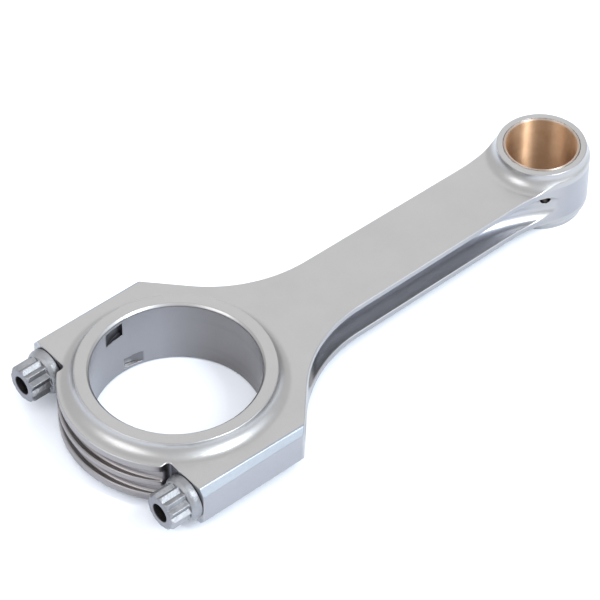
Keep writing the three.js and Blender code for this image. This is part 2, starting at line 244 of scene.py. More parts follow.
def bore_cut(part, x, y, z):
    """The big bore with a chamfer at both mouths."""
    r = from_axis(x, y, 0, 0) - BIG_BORE_R
    mouth = (np.abs(z) - (HALF_WIDTH - BORE_CHAMFER) - r) / math.sqrt(2)
    return both(both(part, -r, BORE_EDGE_R), mouth, MOUTH_EDGE_R)


def channel_void(x, ay, z):
    """A round-cornered slot that dives in from the shoulder, runs along the web and climbs out."""
    in_x, out_x = CHANNEL_DEEP_X
    dive_r = arc_radius(in_x - CHANNEL_IN[0], CHANNEL_IN[1] - WEB_HALF)
    climb_r = arc_radius(CHANNEL_OUT[0] - out_x, CHANNEL_OUT[1] - WEB_HALF)
    dive = from_axis(x, ay, in_x, WEB_HALF + dive_r) - dive_r
    climb = from_axis(x, ay, out_x, WEB_HALF + climb_r) - climb_r
    plan = np.where(x < in_x, dive, np.where(x > out_x, climb, WEB_HALF - ay))
    return both(plan, np.abs(z) - CHANNEL_HALF_HEIGHT, CHANNEL_CORNER_R)


def oil_hole_void(x, ay, z):
    mx, my, mz = OIL_HOLE_AT
    run, rise = CENTRE_DISTANCE - mx, my
    off = ((x - mx) * rise + (ay - my) * run) / math.hypot(run, rise)
    return np.sqrt(off * off + (z - mz) ** 2) - OIL_HOLE_R


def notch_void(x, y, z, low, high):
    centre_y = BIG_BORE_R + NOTCH_DEPTH - NOTCH_CUTTER_R
    disc = from_axis(x, y, 0, centre_y) - NOTCH_CUTTER_R
    return both(disc, np.abs(z - (low + high) / 2) - (high - low) / 2)


def bolt_axis(ay, z):
    return np.sqrt((ay - BOLT_Y) ** 2 + z * z)


def sleeve_pocket(x, q):
    return both(q - SLEEVE_OUTER_R - SEAT_GAP, np.abs(x) - SLEEVE_HALF - SEAT_GAP)


def rod_body(x, y, z):
    ay = np.abs(y)
    q = bolt_axis(ay, z)
    plan = both(beam_edge(x, ay), ay - SHOULDER_Y, OUTLINE_CORNER_R)
    part = both(faces(x, y, z), plan, FACE_EDGE_R)
    part = both(part, shoulder_chamfer(ay, z), CHAMFER_EDGE_R)
    part = bore_cut(part, x, y, z)
    part = without(part, channel_void(x, ay, z), CHANNEL_EDGE_R)
    pin = from_axis(x, y, CENTRE_DISTANCE, 0)
    part = without(part, pin - BUSH_OUTER_R - SEAT_GAP, TIGHT_SEAT_R)
    part = without(part, oil_hole_void(x, ay, z), OIL_HOLE_EDGE_R)
    part = without(part, q - THREAD_R - THREAD_CLEARANCE, BOLT_HOLE_EDGE_R)
    part = without(part, sleeve_pocket(x, q), SHALLOW_CUT_R)
    return without(part, notch_void(x, y, z, *ROD_NOTCH_Z), NOTCH_EDGE_R)


def groove_void(x, y, z):
    """The two grooves round the cap's back, which grow shallow towards their ends."""
    floor_x = GROOVE_DEPTH - CAP_R
    floor_end_x = -math.sqrt((CAP_R - GROOVE_END_DEPTH) ** 2 - POCKET_Y**2)
    floor_r = arc_radius(POCKET_Y, floor_end_x - floor_x)
    floor = floor_r - from_axis(x, y, floor_x + floor_r, 0)
    groove = both(floor, np.abs(np.abs(z) - GROOVE_Z) - GROOVE_HALF, GROOVE_CORNER_R)
    return both(groove, np.abs(y) - GROOVE_END_Y)


def rod_cap(x, y, z):
    ay = np.abs(y)
    q = bolt_axis(ay, z)
    seat = BOLT_SEAT_X - x
    back = either(from_axis(x, y, 0, 0) - CAP_R, seat, CAP_HOLLOW_R)
    plan = both(back, either(ay - POCKET_Y, seat, POCKET_CORNER_R), RIB_END_R)
    plan = both(plan, ay - SHOULDER_Y, OUTLINE_CORNER_R)
    part = both(faces(x, y, z), plan, FACE_EDGE_R)
    part = without(part, groove_void(x, y, z), GROOVE_EDGE_R)
    part = both(part, shoulder_chamfer(ay, z), CHAMFER_EDGE_R)
    part = without(part, both(q - SPOTFACE_R, -seat), SHALLOW_CUT_R)
    part = bore_cut(part, x, y, z)
    part = without(part, q - BOLT_HOLE_R, BOLT_HOLE_EDGE_R)
    part = without(part, sleeve_pocket(x, q), SHALLOW_CUT_R)
    return without(part, notch_void(x, y, z, *CAP_NOTCH_Z), NOTCH_EDGE_R)


def bush(x, y, z):
    """The bronze bush, about the pin's axis, chamfered inside at both ends."""
    r = from_axis(x, y, CENTRE_DISTANCE, 0)
    outside = both(r - BUSH_OUTER_R, np.abs(z) - HALF_WIDTH, TIGHT_SEAT_R)
    tube = both(outside, PIN_BORE_R - r, BORE_EDGE_R)
    mouth = (np.abs(z) - HALF_WIDTH + BUSH_CHAMFER + PIN_BORE_R - r) / math.sqrt(2)
    tube = both(tube, mouth, BUSH_MOUTH_R)
    return without(tube, oil_hole_void(x, np.abs(y), z), SHALLOW_CUT_R)


def thread_phase(x, a, b):
    """How far round the right-handed thread a point is, from 0 to 1; a and b are across the axis."""
    turn = np.arctan2(b, a) / (2 * math.pi) - x / THREAD_PITCH
    return turn - np.floor(turn)


def bolt_head(x, y, z, r):
    """The twelve-point head, bevelled at its outer end."""
    angle = np.arctan2(z, y)
    sector = 2 * math.pi / POINTS
    near = np.abs(angle - sector * np.floor(angle / sector + 0.5))
    flat = r * np.sin(near + math.pi / 4) - BOLT_POINT_R * math.sin(math.pi / 4)
    corner = r * np.cos(near) - BOLT_POINT_R + POINT_TRIM
    star = both(flat, corner, POINT_R)
    bevel = (r - BOLT_POINT_R + HEAD_BEVEL + (BOLT_HEAD_END_X - x)) / math.sqrt(2)
    head = both(star, bevel, HEAD_EDGE_R)
    head = both(head, BOLT_HEAD_END_X - x, HEAD_EDGE_R)
    return both(head, x - BOLT_SEAT_X + ROOT_OVERLAP)


def bolt_flange(x, r):
    """The round flange, sloped on the head's side and flat on the seat's."""
    slope = r - BOLT_FLANGE_R + FLANGE_RIM + FLANGE_SLOPE * (BOLT_FLANGE_END_X - x)
    disc = both(r - BOLT_FLANGE_R, BOLT_FLANGE_END_X - x, FLANGE_RIM_R)
    flange = both(disc, slope / math.hypot(1, FLANGE_SLOPE), FLANGE_SLOPE_R)
    return both(flange, x - BOLT_SEAT_X + SEAT_GAP, FLANGE_SEAT_R)


def bolt_thread(x, y, z, r):
    """The rolled thread, with a bevelled tip and a run-out at the shank."""
    wave = np.abs(thread_phase(x, y, z) - 0.5) * 2
    crest = np.clip((wave - CREST_FLAT) / (1 - 2 * CREST_FLAT), 0, 1)
    thread = (r - (THREAD_R - CREST_SHY - THREAD_DEPTH * (1 - crest))) * THREAD_STEEPNESS
    tip = (r - THREAD_R + TIP_BEVEL + (x - BOLT_TIP_X)) / math.sqrt(2)
    thread = both(both(thread, tip, THREAD_EDGE_R), x - BOLT_TIP_X, TIP_EDGE_R)
    start = (r - BOLT_SHANK_R - THREAD_RUN_OUT + (BOLT_THREAD_FROM_X - x)) / math.sqrt(2)
    return both(thread, start)


def cap_bolt(x, y, z):
    """One bolt about its own axis: twelve points, flange, waisted shank and rolled thread."""
    r = np.sqrt(y * y + z * z)
    part = either(bolt_head(x, y, z, r), bolt_flange(x, r), HEAD_ROOT_R)
    recess = both(r - BOLT_RECESS_R, x - BOLT_HEAD_END_X - BOLT_RECESS_DEPTH, RECESS_FLOOR_R)
    part = without(part, recess, HEAD_EDGE_R)
    shank = both(r - BOLT_SHANK_R, x - BOLT_TIP_X + SHANK_SHY)
    part = either(part, both(shank, BOLT_SEAT_X - ROOT_OVERLAP - x), SHANK_ROOT_R)
    return either(part, bolt_thread(x, y, z, r), THREAD_EDGE_R)


def sleeve(x, y, z):
    r = np.sqrt(y * y + z * z)
    tube = both(r - SLEEVE_OUTER_R, np.abs(x) - SLEEVE_HALF, SLEEVE_END_R)
    return both(tube, BOLT_HOLE_R - r, SLEEVE_BORE_R)


# ---- from a field to a mesh --------------------------------------------------------------------

PARTING_REACH = 0.1
CORNER_INSET = 0.15
GRID_SHIFT = 1.37
SLOPE_REACH = 0.01
LEAST_SLOPE = 0.25
CUT_REACH = 1e-4
ON_PLANE = 1e-6
TINY = 1e-9

CORNERS = [(i, j, k) for i in (0, 1) for j in (0, 1) for k in (0, 1)]
EDGES = [
    (a, b)
    for a in range(8)
    for b in range(a + 1, 8)
    if sum(abs(p - q) for p, q in zip(CORNERS[a], CORNERS[b])) == 1
]


def net(shape, low, high, step):
    """Vertices and quads of the field's surface, one vertex in each grid cell that it crosses."""
    start = np.array(low, float) - GRID_SHIFT * step
    axes = [np.arange(s, h + 2 * step, step) for s, h in zip(start, high)]
    open_grid = np.ix_(*[a.astype(np.float32) for a in axes])
    field = np.broadcast_to(shape(*open_grid), [len(a) for a in axes])
    inside = field < 0
    spans = [n - 1 for n in inside.shape]
    count = np.zeros(spans, np.uint8)
    for i, j, k in CORNERS:
        count += inside[i : spans[0] + i, j : spans[1] + j, k : spans[2] + k]
    crossed = (count > 0) & (count < 8)
    cells = np.argwhere(crossed)
    values = np.stack(
        [field[cells[:, 0] + i, cells[:, 1] + j, cells[:, 2] + k] for i, j, k in CORNERS], 1
    ).astype(float)
    total = np.zeros((len(cells), 3))
    number = np.zeros(len(cells))
    for a, b in EDGES:
        va, vb = values[:, a], values[:, b]
        cross = (va < 0) != (vb < 0)
        share = np.where(cross, va / np.where(cross, va - vb, 1), 0)
        pa, pb = np.array(CORNERS[a], float), np.array(CORNERS[b], float)
        total += cross[:, None] * (pa + (pb - pa) * share[:, None])
        number += cross
    points = start + (cells + total / number[:, None]) * step
    index = np.full(spans, -1, np.int32)
    index[crossed] = np.arange(len(cells), dtype=np.int32)
    quads = []
    for axis in range(3):
        o1, o2 = (axis + 1) % 3, (axis + 2) % 3
        near = [slice(None)] * 3
        far = [slice(None)] * 3
        for o in (o1, o2):
            near[o] = far[o] = slice(1, inside.shape[o] - 1)
        near[axis], far[axis] = slice(0, -1), slice(1, None)
        change = inside[tuple(near)] != inside[tuple(far)]
        nodes = np.argwhere(change)
        nodes[:, o1] += 1
        nodes[:, o2] += 1
        ring = []
        for d1, d2 in ((-1, -1), (0, -1), (0, 0), (-1, 0)):
            c = nodes.copy()
            c[:, o1] += d1
            c[:, o2] += d2
            ring.append(index[c[:, 0], c[:, 1], c[:, 2]])
        quad = np.stack(ring, 1)
        outward = inside[nodes[:, 0], nodes[:, 1], nodes[:, 2]]
        quad[~outward] = quad[~outward, ::-1]
        quads.append(quad)
    return points, np.concatenate(quads)


def slope_of(shape, points):
    slope = np.empty_like(points)
    for axis in range(3):
        ahead, behind = points.copy(), points.copy()
        ahead[:, axis] += SLOPE_REACH
        behind[:, axis] -= SLOPE_REACH
        slope[:, axis] = (shape(*ahead.T) - shape(*behind.T)) / (2 * SLOPE_REACH)
    return slope


def settle(shape, points, most, rounds=3, free=(1, 1, 1)):
    """Moves the points on to the surface, along the axes in which they are free."""
    for _ in range(rounds):
        slope = slope_of(shape, points) * free
        steep = np.maximum((slope**2).sum(1), LEAST_SLOPE)
        move = (shape(*points.T) / steep)[:, None] * slope
        length = np.linalg.norm(move, axis=1)
        move *= np.minimum(1, most / np.maximum(length, TINY))[:, None]
        points = points - move
    return points


def thinned(points, quads, ratio):
    """The same surface with fewer triangles, taken mostly from where it is flat."""
    mesh = bpy.data.meshes.new("net")
    mesh.from_pydata(points, [], quads)
    obj = bpy.data.objects.new("net", mesh)
    bpy.context.scene.collection.objects.link(obj)
    thin = obj.modifiers.new("thin", "DECIMATE")
    thin.ratio = ratio
    thin.use_collapse_triangulate = True
    depsgraph = bpy.context.evaluated_depsgraph_get()
    done = bpy.data.meshes.new_from_object(obj.evaluated_get(depsgraph), depsgraph=depsgraph)
    bpy.data.objects.remove(obj)
    bpy.data.meshes.remove(mesh)
    return done


def coordinates(mesh):
    flat = np.empty(len(mesh.vertices) * 3)
    mesh.vertices.foreach_get("co", flat)
    return flat.reshape(-1, 3)


def set_coordinates(mesh, points):
    mesh.vertices.foreach_set("co", points.astype(np.float32).ravel())
    mesh.update()


def parted(shape, mesh, side):
    """Cuts the mesh on the parting plane, keeps one side of it and closes that with a flat face."""
    outward = Vector((-side, 0, 0))
    work = bmesh.new()
    work.from_mesh(mesh)
    every = work.verts[:] + work.edges[:] + work.faces[:]
    cut = bmesh.ops.bisect_plane(
        work, geom=every, dist=CUT_REACH, plane_co=(0, 0, 0), plane_no=outward, clear_outer=True
    )
    rim = [edge for edge in cut["geom_cut"] if isinstance(edge, bmesh.types.BMEdge)]
    corners = list({corner for edge in rim for corner in edge.verts})
    corners.sort(key=lambda corner: corner.index)
    on_rim = settle(shape, np.array([corner.co for corner in corners]), PARTING_REACH, 3, (0, 1, 1))
    for corner, place in zip(corners, on_rim):
        corner.co = (0, place[1], place[2])
    filled = bmesh.ops.triangle_fill(work, edges=rim, normal=outward, use_beauty=True)
    for face in filled["geom"]:
        if isinstance(face, bmesh.types.BMFace) and face.normal.dot(outward) < 0:
            face.normal_flip()
    bmesh.ops.triangulate(work, faces=work.faces)
    work.to_mesh(mesh)
    work.free()


def corner_normals(shape, mesh):
    """The field's slope at each corner of each triangle, taken a little way inside the triangle."""
    index = np.empty(len(mesh.loops), np.int32)
    mesh.loops.foreach_get("vertex_index", index)
    corners = coordinates(mesh)[index].reshape(-1, 3, 3)
    inside = corners + (corners.mean(1, keepdims=True) - corners) * CORNER_INSET
    slope = slope_of(shape, inside.reshape(-1, 3))
    on_plane = np.repeat((np.abs(corners[:, :, 0]) < ON_PLANE).all(1), 3)
    facing = np.cross(corners[:, 1] - corners[:, 0], corners[:, 2] - corners[:, 0]).repeat(3, 0)
    slope[on_plane] = facing[on_plane]
    return slope / np.maximum(np.linalg.norm(slope, axis=1), TINY)[:, None]


def piece(name, shape, low, high, step, ratio, place=(0, 0, 0), side=0):
    """A mesh object of the field. place is where its own origin goes, in millimetres; side is the
    side of the parting plane that it lies on, or 0 for a piece that isn't cut there."""
    points, quads = net(shape, low, high, step)
    points = settle(shape, points, step / 2)
    mesh = thinned(points, quads, ratio)
    mesh.name = name
    set_coordinates(mesh, settle(shape, coordinates(mesh), step / 3, 2))
    if side:
        parted(shape, mesh, side)
    normals = corner_normals(shape, mesh)
    set_coordinates(mesh, (coordinates(mesh) + np.array(place)) * MM + np.array(ORIGIN))
    mesh.shade_smooth()
    mesh.normals_split_custom_set(normals)
    obj = bpy.data.objects.new(name, mesh)
    bpy.context.scene.collection.objects.link(obj)
    return obj


def copy_of(obj, name, move):
    """Another of the same piece, moved by so many millimetres."""
    mesh = obj.data.copy()
    mesh.name = name
    mesh.transform(Matrix.Translation(Vector(move) * MM))
    twin = bpy.data.objects.new(name, mesh)
    bpy.context.scene.collection.objects.link(twin)
    return twin


# ---- materials ---------------------------------------------------------------------------------


FORGED_COLOURS = ((0.375, 0.372, 0.372), (0.403, 0.399, 0.398))
BOLT_COLOURS = ((0.235, 0.24, 0.254), (0.345, 0.35, 0.366))
BRONZE_COLOURS = ((0.56, 0.35, 0.205), (0.66, 0.435, 0.275))
SLEEVE_COLOURS = ((0.34, 0.34, 0.35), (0.42, 0.42, 0.43))

# What the base colour is multiplied by in each zone: painted shade, a painted reflection and a painted
# sheen, the bore's darkness partly its honed finish too.
# Painted shade darkens the cap's back between its faces.
CAP_BACK_PAINTED_SHADE = (0.69, 0.655, 0.66)
# Painted shade darkens the bolt pockets and their seats.
BOLT_POCKET_PAINTED_SHADE = (0.42, 0.44, 0.49)
# Painted shade, with a bluish cast, on the sides of the shoulders and of the small-end boss.
SIDE_PAINTED_SHADE = (0.82, 0.825, 0.88)
# Painted shade darkens the walls of the oil hole.
OIL_HOLE_PAINTED_SHADE = (0.2, 0.19, 0.19)
# A painted bluish reflection on the beam's middle height, the web in the channels included.
WEB_PAINTED_REFLECTION = (0.95, 0.98, 1.09)
# Painted shade on the beam's flange sides above and below the web.
BEAM_EDGE_PAINTED_SHADE = (0.86, 0.87, 0.9)
# Painted shade dims the highlight on the shoulder chamfers.
SHOULDER_CHAMFER_PAINTED_SHADE = (0.8, 0.87, 0.96)
# The whole bore is darker: partly its honed finish and partly painted shade.
BORE_FINISH_AND_PAINTED_SHADE = (0.77, 0.775, 0.815)
# Painted shade on the bore's wall towards the beam.
BORE_BEAM_SIDE_PAINTED_SHADE = (0.68, 0.65, 0.62)
# Painted shade darkens the cap's bearing-shell notch.
CAP_NOTCH_PAINTED_SHADE = (0.3, 0.3, 0.33)
# Painted shade darkens the rod's bearing-shell notch.
ROD_NOTCH_PAINTED_SHADE = (0.48, 0.48, 0.5)
# Painted shade darkens the recess in each bolt head.
RECESS_PAINTED_SHADE = (0.22, 0.2, 0.2)
# Painted shade on the outer end face of each bolt head.
BOLT_END_PAINTED_SHADE = (0.82, 0.81, 0.84)
# Painted shade darkens the bush's oil hole.
BUSH_OIL_HOLE_PAINTED_SHADE = (0.25, 0.22, 0.2)
# A painted sheen: the bush's mouth chamfers are paler and cooler.
BUSH_RIM_PAINTED_SHEEN = (1.0, 1.3, 1.85)

# Where those zones start and end, and how far past its surface a zone reaches, in millimetres.
SEAT_MARGIN = 0.06
HOLE_MARGIN = 0.06
NOTCH_MARGIN = 0.1
RECESS_MARGIN = 0.3
CHAMFER_MARGIN = 0.05
SHOULDER_SIDE_DEPTH = 0.25
CAP_BACK_WALL = 2
CAP_BACK_HEIGHT = (6.9, 7.1)
POCKET_SPREAD = (POCKET_Y - 0.3, POCKET_Y + 0.5)
WEB_HEIGHT = (4.2, 4.4)
WEB_START_X = (34, 40)
WEB_END_X = (118, 128)
BEAM_EDGE_FOOT = (4.45, 4.6)
BEAM_EDGE_TOP = (6.0, 6.2)
BEAM_EDGE_START_X = (16, 40)
BEAM_EDGE_END_X = (124, 132)
FLAT_TOP = (4.5, 4.7)
BOSS_SIDE_R = (BOSS_R - 0.4, BOSS_R - 0.2)
BOSS_SIDE_TOP = (6.1, 6.4)
BOSS_SIDE_X = (128, 136)
BORE_REACH = (BIG_BORE_R + 0.05, BIG_BORE_R + 0.3)
BORE_BEAM_SIDE_X = (11, 22)
NOTCH_REACH = (BIG_BORE_R + 0.02, BIG_BORE_R + 0.2)
RECESS_REACH = (BOLT_RECESS_R, 1.08 * BOLT_RECESS_R)
BOLT_END_REACH = (BOLT_HEAD_END_X + 0.05, BOLT_HEAD_END_X + 0.3)
BUSH_RIM_HEIGHT = (HALF_WIDTH - 0.3, HALF_WIDTH - 0.15)


def new_material(name):
    material = bpy.data.materials.new(name)
    material.use_nodes = True
    tree = material.node_tree
    shader = next(n for n in tree.nodes if n.type == "BSDF_PRINCIPLED")
    coords = tree.nodes.new("ShaderNodeTexCoord")
    return material, tree, shader, coords.outputs["Object"]


def new_metal(name):
    material, tree, shader, place = new_material(name)
    shader.inputs["Metallic"].default_value = 1
    return material, tree, shader, place


def noise(tree, vector, scale, detail, rough):
    node = tree.nodes.new("ShaderNodeTexNoise")
    node.inputs["Scale"].default_value = scale
    node.inputs["Detail"].default_value = detail
    node.inputs["Roughness"].default_value = rough
    tree.links.new(vector, node.inputs["Vector"])
    return node.outputs["Fac"]


def ramp(tree, value, colours, ends=(0.3, 0.7)):
    """From the first colour to the second as the value goes from one end to the other."""
    node = tree.nodes.new("ShaderNodeValToRGB")
    for element, at, colour in zip(node.color_ramp.elements, ends, colours):
        element.position = at
        element.color = (*colour, 1)
    tree.links.new(value, node.inputs["Fac"])
    return node.outputs["Color"]


def mapped(tree, value, low, high, to_low, to_high):
    node = tree.nodes.new("ShaderNodeMapRange")
    numbers = {"From Min": low, "From Max": high, "To Min": to_low, "To Max": to_high}
    for socket, number in numbers.items():
        node.inputs[socket].default_value = number
    tree.links.new(value, node.inputs["Value"])
    return node.outputs["Result"]


def rising(tree, value, ends):
    """A mask that goes from nought to one between two places in millimetres."""
    return mapped(tree, value, ends[0] * MM, ends[1] * MM, 0, 1)


def falling(tree, value, ends):
    """A mask that goes from one to nought between two places in millimetres."""
    return mapped(tree, value, ends[0] * MM, ends[1] * MM, 1, 0)


def maths(tree, kind, *given):
    node = tree.nodes.new("ShaderNodeMath")
    node.operation = kind
    for socket, value in zip(node.inputs, given):
        if isinstance(value, (int, float)):
            socket.default_value = value
        else:
            tree.links.new(value, socket)
    return node.outputs["Value"]


def times(tree, first, *others):
    for other in others:
        first = maths(tree, "MULTIPLY", first, other)
    return first


def beyond(tree, value, limit):
    """One where the value, in metres, is over a limit in millimetres."""
    return maths(tree, "GREATER_THAN", value, limit * MM)


def within(tree, value, limit):
    """One where the value, in metres, is under a limit in millimetres."""
    return maths(tree, "LESS_THAN", value, limit * MM)


def size_of(tree, value):
    return maths(tree, "ABSOLUTE", value)


def span_of(tree, a, b):
    """The length whose two components are a and b."""
    return maths(tree, "SQRT", maths(tree, "ADD", times(tree, a, a), times(tree, b, b)))


def bump(tree, height, strength, distance, normal=None):
    node = tree.nodes.new("ShaderNodeBump")
    node.inputs["Strength"].default_value = strength
    node.inputs["Distance"].default_value = distance
    tree.links.new(height, node.inputs["Height"])
    if normal is not None:
        tree.links.new(normal, node.inputs["Normal"])
    return node.outputs["Normal"]


def split(tree, place):
    node = tree.nodes.new("ShaderNodeSeparateXYZ")
    tree.links.new(place, node.inputs["Vector"])
    return [node.outputs[axis] for axis in "XYZ"]


def from_big_end(tree, place):
    """The coordinates about the big-end centre, in metres."""
    x, y, z = split(tree, place)
    return maths(tree, "SUBTRACT", x, ORIGIN.x), y, maths(tree, "SUBTRACT", z, ORIGIN.z)


def notch_mask(tree, place, r, low, high):
    """One inside a bearing-shell notch, its level walls included, and nought elsewhere."""
    _, y, z = split(tree, place)
    middle = ORIGIN.z + (low + high) / 2 * MM
    level = maths(tree, "COMPARE", z, middle, (high - low) / 2 * MM)
    deepest = within(tree, r, BIG_BORE_R + NOTCH_DEPTH + NOTCH_MARGIN)
    return times(tree, rising(tree, r, NOTCH_REACH), deepest, level, beyond(tree, y, 0))


def oil_hole_mask(tree, x, y, z):
    """One on the walls of the two oil holes and nought elsewhere."""
    mx, my, mz = OIL_HOLE_AT
    run, rise = CENTRE_DISTANCE - mx, my
    length = math.hypot(run, rise)
    along = times(tree, maths(tree, "SUBTRACT", x, mx * MM), rise / length)
    across = times(tree, maths(tree, "SUBTRACT", size_of(tree, y), my * MM), run / length)
    height = maths(tree, "SUBTRACT", z, mz * MM)
    near = span_of(tree, maths(tree, "ADD", along, across), height)
    in_boss = beyond(tree, x, CENTRE_DISTANCE - BOSS_R)
    return times(tree, within(tree, near, OIL_HOLE_R + HOLE_MARGIN), in_boss)


def side_mask(tree, x, y, height):
    """One on the sides of the shoulders and of the small-end boss, which get painted shade."""
    shoulder = beyond(tree, size_of(tree, y), SHOULDER_Y - SHOULDER_SIDE_DEPTH)
    shoulder = times(tree, shoulder, falling(tree, height, FLAT_TOP))
    pin_r = span_of(tree, maths(tree, "SUBTRACT", x, CENTRE_DISTANCE * MM), y)
    boss = times(tree, rising(tree, pin_r, BOSS_SIDE_R), falling(tree, height, BOSS_SIDE_TOP))
    return maths(tree, "MAXIMUM", shoulder, times(tree, boss, rising(tree, x, BOSS_SIDE_X)))


def cap_back_masks(tree, r, x, y, height):
    """The cap's back between its faces, and the part of it that lies in the bolt pockets, which both get
    painted shade.
    """
    back = times(tree, within(tree, x, BOLT_SEAT_X + SEAT_MARGIN), falling(tree, height, CAP_BACK_HEIGHT))
    back = times(tree, back, beyond(tree, r, BIG_BORE_R + CAP_BACK_WALL))
    return back, times(tree, back, rising(tree, size_of(tree, y), POCKET_SPREAD))


def beam_masks(tree, x, y, height):
    """The web in the channels, the strips above and below it, and the shoulders' chamfers: painted
    reflection on the first, painted shade on the others.
    """
    web = times(tree, falling(tree, height, WEB_HEIGHT), rising(tree, x, WEB_START_X))
    web = times(tree, web, falling(tree, x, WEB_END_X))
    strip = times(tree, rising(tree, height, BEAM_EDGE_FOOT), falling(tree, height, BEAM_EDGE_TOP))
    strip = times(tree, strip, rising(tree, x, BEAM_EDGE_START_X), falling(tree, x, BEAM_EDGE_END_X))
    chamfer = beyond(tree, size_of(tree, y), SHOULDER_Y - FLAT_CHAMFER + CHAMFER_MARGIN)
    return web, strip, times(tree, chamfer, rising(tree, height, FLAT_TOP))


def tinted(tree, colour, zones):
    """The colour, multiplied by each zone's tint where that zone's mask is one."""
    for mask, tint in zones:
        node = tree.nodes.new("ShaderNodeMix")
        node.data_type = "RGBA"
        node.blend_type = "MULTIPLY"
        factor, first, second = node.inputs[0], node.inputs[6], node.inputs[7]
        tree.links.new(mask, factor)
        tree.links.new(colour, first)
        second.default_value = (*tint, 1)
        colour = node.outputs[2]
    return colour


def surface(tree, shader, colour, rough, normal):
    tree.links.new(colour, shader.inputs["Base Color"])
    tree.links.new(rough, shader.inputs["Roughness"])
    tree.links.new(normal, shader.inputs["Normal"])


def forged_steel():
    """Satin, lightly peened steel with faint cloudy stains and a honed bore, with painted shade in the
    bore, notches, bolt pockets and oil hole and on the cap's back, sides, beam edges and chamfers, and a
    painted bluish reflection on the web.
    """
    material, tree, shader, place = new_metal("forged_steel_satin")
    clouds = noise(tree, place, scale=60, detail=5, rough=0.6)
    grain = noise(tree, place, scale=900, detail=3, rough=0.6)
    peen = noise(tree, place, scale=2600, detail=2, rough=0.5)
    x, y, z = from_big_end(tree, place)
    r = span_of(tree, x, y)
    height = size_of(tree, z)
    back, pocket = cap_back_masks(tree, r, x, y, height)
    web, strip, chamfer = beam_masks(tree, x, y, height)
    bore = falling(tree, r, BORE_REACH)
    zones = [
        (back, CAP_BACK_PAINTED_SHADE),
        (pocket, BOLT_POCKET_PAINTED_SHADE),
        (side_mask(tree, x, y, height), SIDE_PAINTED_SHADE),
        (oil_hole_mask(tree, x, y, z), OIL_HOLE_PAINTED_SHADE),
        (web, WEB_PAINTED_REFLECTION),
        (strip, BEAM_EDGE_PAINTED_SHADE),
        (chamfer, SHOULDER_CHAMFER_PAINTED_SHADE),
        (bore, BORE_FINISH_AND_PAINTED_SHADE),
        (times(tree, bore, rising(tree, x, BORE_BEAM_SIDE_X)), BORE_BEAM_SIDE_PAINTED_SHADE),
        (notch_mask(tree, place, r, *CAP_NOTCH_Z), CAP_NOTCH_PAINTED_SHADE),
        (notch_mask(tree, place, r, *ROD_NOTCH_Z), ROD_NOTCH_PAINTED_SHADE),
    ]
    colour = tinted(tree, ramp(tree, clouds, FORGED_COLOURS), zones)
    mixed = maths(tree, "ADD", times(tree, clouds, 0.5), times(tree, grain, 0.5))
    rough = mapped(tree, mixed, 0.35, 0.65, to_low=0.29, to_high=0.36)
    grainy = bump(tree, grain, strength=0.06, distance=0.0003)
    surface(tree, shader, colour, rough, bump(tree, peen, 0.08, 0.0002, grainy))
    return material


def bolt_steel():
    """Dull rolled steel, faintly wavy and mottled, with painted shade in the head's recess and on its end
    face.
    """
    material, tree, shader, place = new_metal("bolt_steel_polished")
    clouds = noise(tree, place, scale=180, detail=4, rough=0.6)
    fine = noise(tree, place, scale=2500, detail=2, rough=0.5)
    waves = noise(tree, place, scale=700, detail=3, rough=0.6)
    x, y, z = from_big_end(tree, place)
    aside = maths(tree, "SUBTRACT", size_of(tree, y), BOLT_Y * MM)
    recess = falling(tree, span_of(tree, aside, z), RECESS_REACH)
    in_head = within(tree, x, BOLT_HEAD_END_X + BOLT_RECESS_DEPTH + RECESS_MARGIN)
    zones = [
        (times(tree, recess, in_head), RECESS_PAINTED_SHADE),
        (falling(tree, x, BOLT_END_REACH), BOLT_END_PAINTED_SHADE),
    ]
    colour = tinted(tree, ramp(tree, clouds, BOLT_COLOURS), zones)
    rough = mapped(tree, clouds, 0.3, 0.7, to_low=0.42, to_high=0.56)
    wavy = bump(tree, waves, strength=0.6, distance=0.0004)
    surface(tree, shader, colour, rough, bump(tree, fine, 0.04, 0.0001, wavy))
    return material


def bush_bronze():
    """Bronze honed round the bore, so that its highlights stretch along the pin."""
    material, tree, shader, place = new_metal("bush_bronze_honed")
    shader.inputs["Anisotropic"].default_value = 1
    shader.inputs["Anisotropic Rotation"].default_value = 0.25
    tangent = tree.nodes.new("ShaderNodeTangent")
    tangent.direction_type = "RADIAL"
    tangent.axis = "Z"
    tree.links.new(tangent.outputs["Tangent"], shader.inputs["Tangent"])
    clouds = noise(tree, place, scale=260, detail=5, rough=0.65)
    fine = noise(tree, place, scale=1800, detail=3, rough=0.6)
    x, y, z = from_big_end(tree, place)
    zones = [
        (oil_hole_mask(tree, x, y, z), BUSH_OIL_HOLE_PAINTED_SHADE),
        (rising(tree, size_of(tree, z), BUSH_RIM_HEIGHT), BUSH_RIM_PAINTED_SHEEN),
    ]
    colour = tinted(tree, ramp(tree, clouds, BRONZE_COLOURS), zones)
    rough = mapped(tree, clouds, 0.3, 0.7, to_low=0.48, to_high=0.56)
    surface(tree, shader, colour, rough, bump(tree, fine, strength=0.05, distance=0.0002))
    return material


def sleeve_steel():
    """Ground steel, smoother than the rod's."""
    material, tree, shader, place = new_metal("sleeve_steel_ground")
    clouds = noise(tree, place, scale=300, detail=4, rough=0.6)
    colour = ramp(tree, clouds, SLEEVE_COLOURS)
    rough = mapped(tree, clouds, 0.3, 0.7, to_low=0.22, to_high=0.34)
    surface(tree, shader, colour, rough, bump(tree, clouds, strength=0.06, distance=0.0002))
    return material


STEEL = forged_steel()
BOLT = bolt_steel()
BRONZE = bush_bronze()
SLEEVE = sleeve_steel()


def finish(obj, material, body, slot, *nodes):
    obj.data.materials.append(material)
    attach(obj, body)
    if nodes:
        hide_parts(*nodes)
    return obj


# ---- pieces ------------------------------------------------------------------------------------

